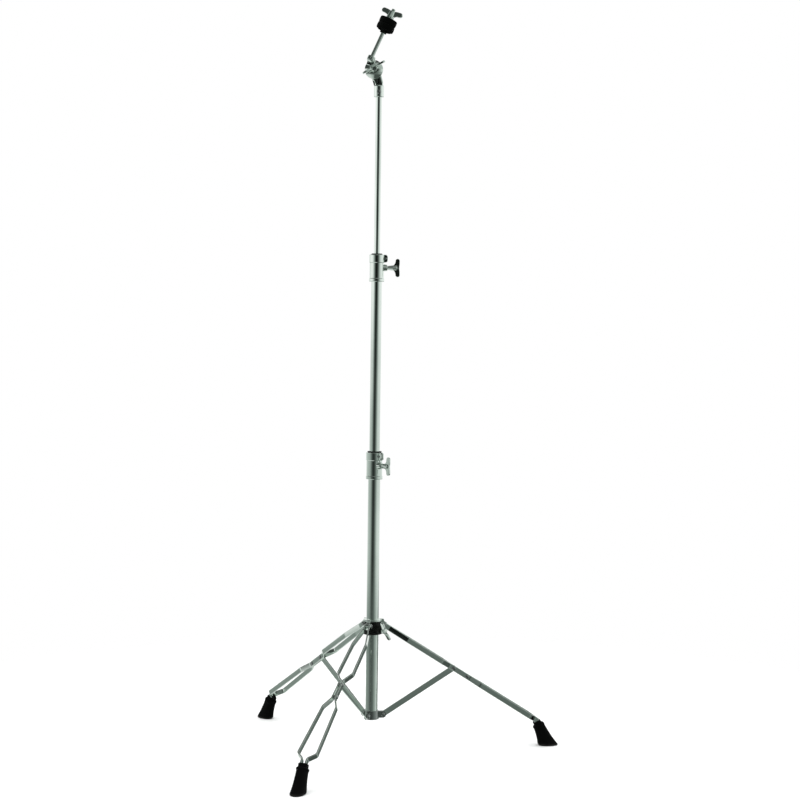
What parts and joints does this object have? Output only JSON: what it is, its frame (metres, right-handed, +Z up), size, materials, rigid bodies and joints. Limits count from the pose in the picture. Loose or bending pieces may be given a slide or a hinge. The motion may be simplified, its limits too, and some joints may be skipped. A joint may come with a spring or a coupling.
{
  "type": "cymbal stand",
  "caption": "straight folding cymbal stand: tripod of paired flat strips, telescoping tubes with sleeve clamps, toothed tilter and rod with felts and wing nut",
  "frame": {"origin": "under the middle of the whole stand's box, on the floor; the mast stands beside it because the pictured tripod reaches further to one side", "axes": "+Z up along the mast, +X toward the side the cymbal rod leans to, -Y toward the viewer and the tilter's wing bolt"},
  "size_m": [0.6576, 0.694, 1.547],
  "materials": {
    "chrome": "polished plating with a faint green-grey tone",
    "dark_chrome": "plated pressing, slightly duller",
    "rivet_steel": "plain steel rivets, screws and nut",
    "rubber": "matt moulded black",
    "nylon": "satin black moulding",
    "felt": "pressed black wool felt"
  },
  "bodies": {
    "base": {"base_tube": "chrome", "base_tube_plug": "nylon", "lower_bracket": "dark_chrome", "bracket_pin_1": "rivet_steel", "bracket_pin_2": "rivet_steel", "bracket_pin_3": "rivet_steel", "middle_clamp_sleeve": "chrome", "middle_clamp_screw": "rivet_steel", "middle_clamp_bushing": "nylon"},
    "brace_1": {"brace_1": "chrome"},
    "leg_1": {"leg_strip_1a": "chrome", "leg_strip_1b": "chrome", "leg_rivet_1": "rivet_steel", "brace_pin_1": "rivet_steel", "boot_1": "rubber"},
    "collar": {"collar_hub": "nylon", "collar_spider": "chrome", "collar_pin_1": "rivet_steel", "collar_pin_2": "rivet_steel", "collar_pin_3": "rivet_steel"},
    "leg_2": {"leg_strip_2a": "chrome", "leg_strip_2b": "chrome", "leg_rivet_2": "rivet_steel", "brace_pin_2": "rivet_steel", "boot_2": "rubber"},
    "leg_3": {"leg_strip_3a": "chrome", "leg_strip_3b": "chrome", "leg_rivet_3": "rivet_steel", "brace_pin_3": "rivet_steel", "boot_3": "rubber"},
    "brace_2": {"brace_2": "chrome"},
    "brace_3": {"brace_3": "chrome"},
    "collar_bolt": {"collar_wing_bolt": "chrome"},
    "middle_clamp_bolt": {"middle_clamp_wing_bolt": "chrome"},
    "middle_guide": {"middle_tube_guide": "nylon"},
    "middle_tube": {"middle_tube": "chrome", "upper_clamp_sleeve": "chrome", "upper_clamp_screw": "rivet_steel", "upper_clamp_bushing": "nylon"},
    "upper_clamp_bolt": {"upper_clamp_wing_bolt": "chrome"},
    "top_guide": {"top_tube_guide": "nylon"},
    "top_tube": {"top_tube": "chrome", "tilter_base": "chrome", "tilter_nut": "rivet_steel", "tilter_pin": "rivet_steel"},
    "tilter_bolt": {"tilter_wing_bolt": "chrome"},
    "tilter_head": {"tilter_head": "chrome", "cymbal_rod": "chrome", "cymbal_seat": "chrome", "rod_sleeve": "nylon", "lower_felt": "felt"},
    "upper_felt": {"upper_felt": "felt"},
    "wing_nut": {"wing_nut": "chrome"}
  },
  "joints": [
    {"name": "brace_1_fold", "type": "hinge", "parent": "base", "child": "brace_1", "pos_m": [-0.04671, 0.03449, 0.07544], "axis": [0.1564, -0.9877, 0], "range_deg": [0, 48]},
    {"name": "leg_1_fold", "type": "hinge", "parent": "brace_1", "child": "leg_1", "pos_m": [0.10147, 0.05796, 0.16992], "axis": [0.1564, -0.9877, 0], "range_deg": [-96, 0]},
    {"name": "collar_on_leg_1", "type": "hinge", "parent": "leg_1", "child": "collar", "pos_m": [-0.04671, 0.03449, 0.2644], "axis": [0.1564, -0.9877, 0], "range_deg": [0, 48]},
    {"name": "leg_2_fold", "type": "hinge", "parent": "collar", "child": "leg_2", "pos_m": [-0.08552, 0.04938, 0.2644], "axis": [0.7771, 0.6293, 0], "range_deg": [-48, 0]},
    {"name": "leg_3_fold", "type": "hinge", "parent": "collar", "child": "leg_3", "pos_m": [-0.07902, 0.00833, 0.2644], "axis": [-0.9336, 0.3584, 0], "range_deg": [-48, 0]},
    {"name": "brace_2_fold", "type": "hinge", "parent": "base", "child": "brace_2", "pos_m": [-0.08552, 0.04938, 0.07544], "axis": [0.7771, 0.6293, 0], "range_deg": [0, 48]},
    {"name": "brace_3_fold", "type": "hinge", "parent": "base", "child": "brace_3", "pos_m": [-0.07902, 0.00833, 0.07544], "axis": [-0.9336, 0.3584, 0], "range_deg": [0, 48]},
    {"name": "collar_bolt_turn", "type": "hinge", "parent": "collar", "child": "collar_bolt", "pos_m": [-0.05198, 0.00796, 0.2564], "axis": [0.6293, -0.7771, 0], "continuous": true},
    {"name": "middle_clamp_bolt_turn", "type": "hinge", "parent": "base", "child": "middle_clamp_bolt", "pos_m": [-0.05505, 0.01242, 0.59944], "axis": [0.6428, -0.766, 0], "continuous": true},
    {"name": "middle_tube_slide", "type": "slide", "parent": "base", "child": "middle_guide", "axis": [0, 0, 1], "range_m": [-0.35, 0.08]},
    {"name": "middle_tube_turn", "type": "hinge", "parent": "middle_guide", "child": "middle_tube", "pos_m": [-0.07042, 0.03073, 0.46944], "axis": [0, 0, 1], "continuous": true},
    {"name": "upper_clamp_bolt_turn", "type": "hinge", "parent": "middle_tube", "child": "upper_clamp_bolt", "pos_m": [-0.04822, 0.03073, 1.01044], "axis": [1, 0, 0], "continuous": true},
    {"name": "top_tube_slide", "type": "slide", "parent": "middle_tube", "child": "top_guide", "axis": [0, 0, 1], "range_m": [-0.32, 0.065]},
    {"name": "top_tube_turn", "type": "hinge", "parent": "top_guide", "child": "top_tube", "pos_m": [-0.07042, 0.03073, 0.89544], "axis": [0, 0, 1], "continuous": true},
    {"name": "tilter_tilt", "type": "hinge", "parent": "top_tube", "child": "tilter_head", "pos_m": [-0.08142, 0.03073, 1.41944], "axis": [0, 1, 0], "range_deg": [-114.3, 65.7]},
    {"name": "tilter_bolt_turn", "type": "hinge", "parent": "top_tube", "child": "tilter_bolt", "pos_m": [-0.08142, 0.02168, 1.41944], "axis": [0, -1, 0], "continuous": true},
    {"name": "upper_felt_lift", "type": "slide", "parent": "tilter_head", "child": "upper_felt", "axis": [0.4115, 0, 0.9114], "range_m": [0, 0.018]},
    {"name": "wing_nut_turn", "type": "hinge", "parent": "upper_felt", "child": "wing_nut", "pos_m": [-0.0506, 0.02038, 1.52172], "axis": [0.4115, 0, 0.9114], "continuous": true}
  ],
  "couplings": [
    {"joint": "leg_1_fold", "follows": "brace_1_fold", "ratio": -2},
    {"joint": "collar_on_leg_1", "follows": "brace_1_fold", "ratio": 1},
    {"joint": "leg_2_fold", "follows": "brace_1_fold", "ratio": -1},
    {"joint": "leg_3_fold", "follows": "brace_1_fold", "ratio": -1},
    {"joint": "brace_2_fold", "follows": "brace_1_fold", "ratio": 1},
    {"joint": "brace_3_fold", "follows": "brace_1_fold", "ratio": 1}
  ]
}
